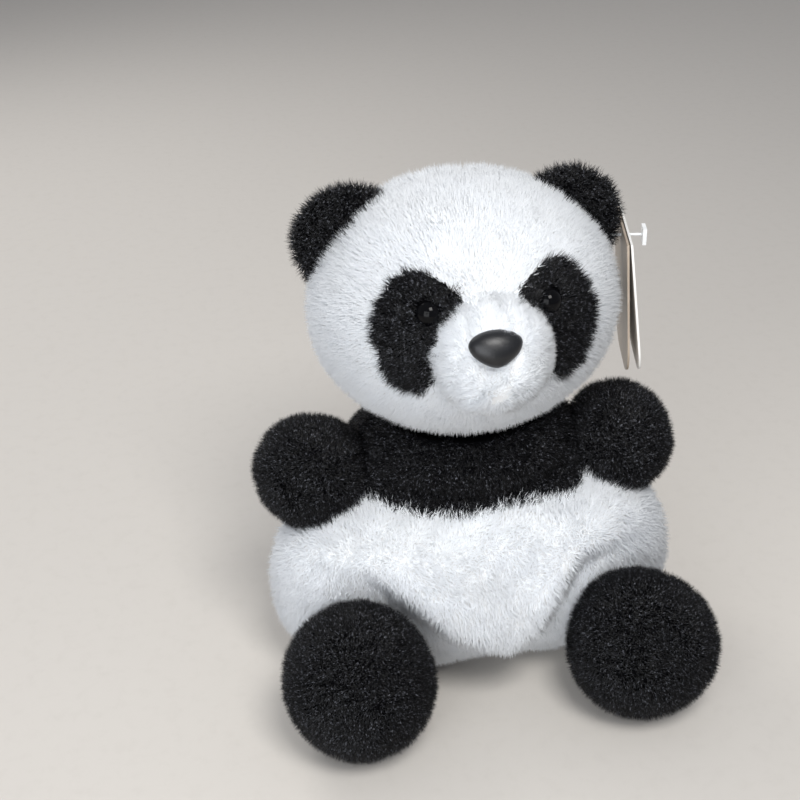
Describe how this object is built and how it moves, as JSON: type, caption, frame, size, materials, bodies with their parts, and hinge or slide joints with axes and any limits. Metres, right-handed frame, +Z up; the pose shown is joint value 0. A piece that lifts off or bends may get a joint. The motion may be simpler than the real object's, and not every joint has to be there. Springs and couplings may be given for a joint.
{
  "type": "plush panda",
  "caption": "Small sitting bean-filled panda toy with round head, ball limbs, plastic eyes and nose and a blank folded swing tag.",
  "frame": {"origin": "on the table under the middle of the toy's box", "axes": "+Z up, -Y the way the face looks, +X the panda's own left side"},
  "size_m": [0.1032, 0.0886, 0.1232],
  "materials": {
    "white_plush": "matte",
    "black_plush": "matte",
    "fibre_filling": "matte",
    "plastic_pellets": "satin",
    "sack_cloth": "matte",
    "eye_plastic": "gloss",
    "nose_plastic": "satin",
    "washer_plastic": "satin",
    "tag_card": "satin",
    "tag_nylon": "satin",
    "label_satin": "satin"
  },
  "bodies": {
    "torso": {"yoke_cover": "black_plush", "belly_cover": "white_plush", "back_cover": "white_plush", "base_panel": "white_plush", "pellet_sack": "sack_cloth", "seat_pellets": "plastic_pellets", "body_stuffing": "fibre_filling", "care_label": "label_satin"},
    "neck": {"neck_stuffing": "fibre_filling"},
    "head": {"head_front_cover": "white_plush", "head_back_cover": "white_plush", "eye_patch_left": "black_plush", "eye_patch_right": "black_plush", "muzzle_cover": "white_plush", "muzzle_stuffing": "fibre_filling", "head_stuffing": "fibre_filling", "eye_left": "eye_plastic", "eye_right": "eye_plastic", "eye_washer_left": "washer_plastic", "eye_washer_right": "washer_plastic", "nose": "nose_plastic", "nose_washer": "washer_plastic"},
    "ear_left": {"ear_left_front_panel": "black_plush", "ear_left_back_panel": "black_plush", "tag_fastener": "tag_nylon"},
    "ear_right": {"ear_right_front_panel": "black_plush", "ear_right_back_panel": "black_plush"},
    "tag": {"tag_back_card": "tag_card"},
    "tag_leaf": {"tag_front_card": "tag_card"},
    "arm_left": {"arm_left_front_panel": "black_plush", "arm_left_back_panel": "black_plush", "arm_left_stuffing": "fibre_filling"},
    "arm_right": {"arm_right_front_panel": "black_plush", "arm_right_back_panel": "black_plush", "arm_right_stuffing": "fibre_filling"},
    "leg_left": {"leg_left_sleeve": "white_plush", "foot_left_cover": "black_plush", "foot_left_pellets": "plastic_pellets"},
    "leg_right": {"leg_right_sleeve": "white_plush", "foot_right_cover": "black_plush", "foot_right_pellets": "plastic_pellets"}
  },
  "joints": [
    {"name": "neck_turn", "type": "hinge", "parent": "torso", "child": "neck", "pos_m": [0, 0.014, 0.072], "axis": [0, 0, 1], "range_deg": [-20, 20], "stiffness_Nm_per_rad": 0.05},
    {"name": "head_nod", "type": "hinge", "parent": "neck", "child": "head", "pos_m": [0, 0.014, 0.072], "axis": [1, 0, 0], "range_deg": [-8, 8], "stiffness_Nm_per_rad": 0.08},
    {"name": "ear_left_fold", "type": "hinge", "parent": "head", "child": "ear_left", "pos_m": [0.02728, 0.017, 0.11062], "axis": [-0.6607, 0, 0.7507], "range_deg": [-12, 12], "stiffness_Nm_per_rad": 0.01},
    {"name": "ear_right_fold", "type": "hinge", "parent": "head", "child": "ear_right", "pos_m": [-0.02728, 0.017, 0.11062], "axis": [0.6607, 0, 0.7507], "range_deg": [-12, 12], "stiffness_Nm_per_rad": 0.01},
    {"name": "tag_swing", "type": "hinge", "parent": "ear_left", "child": "tag", "pos_m": [0.03933, 0.01617, 0.105], "axis": [0.9763, -0.2164, 0], "range_deg": [-20, 20]},
    {"name": "tag_open", "type": "hinge", "parent": "tag", "child": "tag_leaf", "pos_m": [0.04016, 0.01599, 0.108], "axis": [0.2164, 0.9763, 0], "range_deg": [-20, 3]},
    {"name": "arm_left_hug", "type": "hinge", "parent": "torso", "child": "arm_left", "pos_m": [0.0295, 0.0095, 0.0525], "axis": [0, 0, 1], "range_deg": [-20, 20], "stiffness_Nm_per_rad": 0.02},
    {"name": "arm_right_hug", "type": "hinge", "parent": "torso", "child": "arm_right", "pos_m": [-0.0295, 0.0095, 0.0525], "axis": [0, 0, 1], "range_deg": [-20, 20], "stiffness_Nm_per_rad": 0.02},
    {"name": "leg_left_lift", "type": "hinge", "parent": "torso", "child": "leg_left", "pos_m": [0.029, -0.005, 0.0155], "axis": [-1, 0, 0], "range_deg": [0, 15]},
    {"name": "leg_right_lift", "type": "hinge", "parent": "torso", "child": "leg_right", "pos_m": [-0.029, -0.005, 0.0155], "axis": [-1, 0, 0], "range_deg": [0, 15]}
  ]
}
